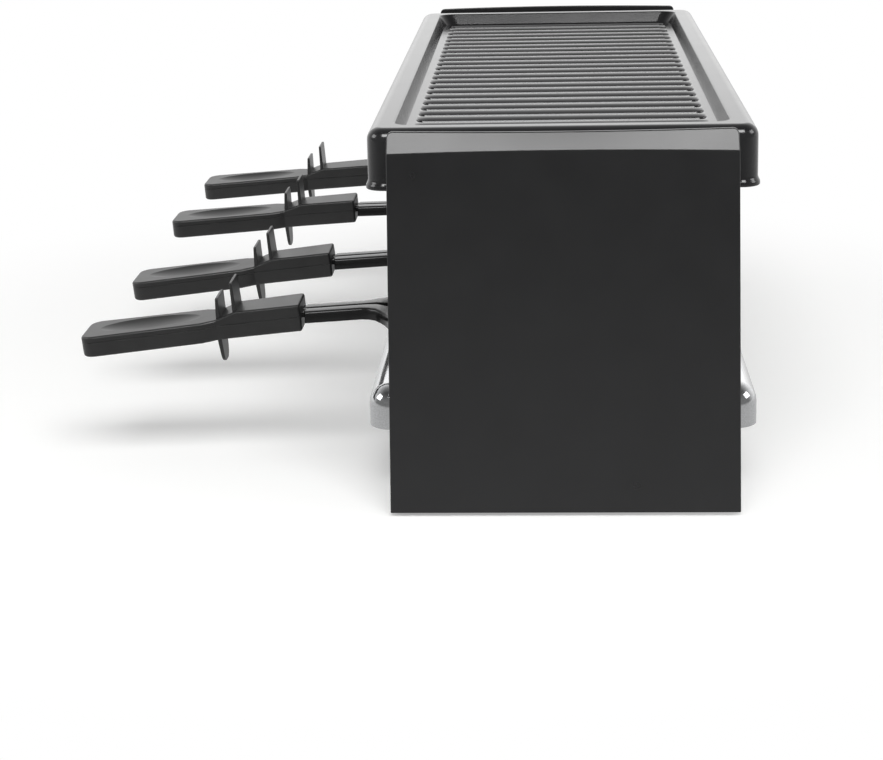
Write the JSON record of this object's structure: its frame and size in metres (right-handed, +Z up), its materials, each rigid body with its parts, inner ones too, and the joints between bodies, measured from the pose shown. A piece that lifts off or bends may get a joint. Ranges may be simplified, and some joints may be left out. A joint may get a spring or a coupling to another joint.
{
  "type": "raclette grill",
  "caption": "Long electric raclette grill with matt black end casings, a lift-off ribbed grill plate, a polished pan deck and pull-out square pans with long black handles.",
  "frame": {"origin": "on the table, under the middle of the whole outline, pan handles and cable gland included", "axes": "+X along the grill towards the plain end casing, -Y towards the guest, the way the pans pull out, +Z up"},
  "size_m": [0.44, 0.287, 0.1572],
  "materials": {
    "casing_black": "fine matt black, even all over",
    "sheet_black": "satin black heat-proof paint",
    "deck_polished": "polished sheet steel",
    "shield_steel": "plain bright steel",
    "plate_coated": "dark grey non-stick coat, semi-gloss",
    "element_steel": "dull grey element sheath",
    "bush_ceramic": "off-white unglazed ceramic",
    "foot_rubber": "matt black rubber",
    "pan_coated": "glossy black non-stick coat on pressed steel",
    "handle_black": "satin black heat-proof plastic",
    "screw_steel": "zinc-plated steel",
    "switch_black": "black plastic, light gloss",
    "lamp_red": "red lens",
    "lead_sleeve": "pale glass-fibre sleeve"
  },
  "bodies": {
    "body": {"end_casing_right": "casing_black", "end_casing_left": "casing_black", "bulkhead_right": "sheet_black", "bulkhead_left": "sheet_black", "front_rail": "sheet_black", "back_wall": "sheet_black", "base_rail_front": "sheet_black", "base_rail_back": "sheet_black", "pan_deck": "deck_polished", "heat_shield": "shield_steel", "element_hanger_1": "shield_steel", "element_hanger_2": "shield_steel", "heating_element": "element_steel", "element_bush_front": "bush_ceramic", "element_bush_back": "bush_ceramic", "terminal_block": "bush_ceramic", "foot_1": "foot_rubber", "foot_2": "foot_rubber", "foot_3": "foot_rubber", "foot_4": "foot_rubber", "casing_screws_right": "screw_steel", "casing_screws_left": "screw_steel", "deck_screws_right": "screw_steel", "deck_screws_left": "screw_steel", "earth_stud": "screw_steel", "switch_housing": "switch_black", "cable_gland": "switch_black", "gland_nut": "switch_black", "thermal_cutout": "switch_black", "pilot_lamp": "lamp_red", "lead_to_switch": "lead_sleeve", "lead_to_cutout": "lead_sleeve", "lead_element_front": "lead_sleeve", "lead_element_back": "lead_sleeve", "lead_earth": "lead_sleeve"},
    "plate": {"grill_plate": "plate_coated"},
    "rocker": {"switch_rocker": "switch_black"},
    "pan_1_set": {"pan_1": "pan_coated", "handle_top_1": "handle_black", "handle_base_1": "handle_black", "handle_screw_1": "screw_steel"},
    "pan_2_set": {"pan_2": "pan_coated", "handle_top_2": "handle_black", "handle_base_2": "handle_black", "handle_screw_2": "screw_steel"},
    "pan_3_set": {"pan_3": "pan_coated", "handle_top_3": "handle_black", "handle_base_3": "handle_black", "handle_screw_3": "screw_steel"},
    "pan_4_set": {"pan_4": "pan_coated", "handle_top_4": "handle_black", "handle_base_4": "handle_black", "handle_screw_4": "screw_steel"}
  },
  "joints": [
    {"name": "pan_1_slide", "type": "slide", "parent": "body", "child": "pan_1_set", "axis": [0, -1, 0], "range_m": [-0.0069, 0.125]},
    {"name": "pan_2_slide", "type": "slide", "parent": "body", "child": "pan_2_set", "axis": [0, -1, 0], "range_m": [-0.0037, 0.125]},
    {"name": "pan_3_slide", "type": "slide", "parent": "body", "child": "pan_3_set", "axis": [0, -1, 0], "range_m": [-0.0011, 0.125]},
    {"name": "pan_4_slide", "type": "slide", "parent": "body", "child": "pan_4_set", "axis": [0, -1, 0], "range_m": [0, 0.125]},
    {"name": "plate_lift", "type": "slide", "parent": "body", "child": "plate", "axis": [0, 0, 1], "range_m": [0, 0.06]},
    {"name": "switch_rock", "type": "hinge", "parent": "body", "child": "rocker", "pos_m": [-0.2124, 0.03622, 0.084], "axis": [0, 1, 0], "range_deg": [-14, 0]}
  ]
}
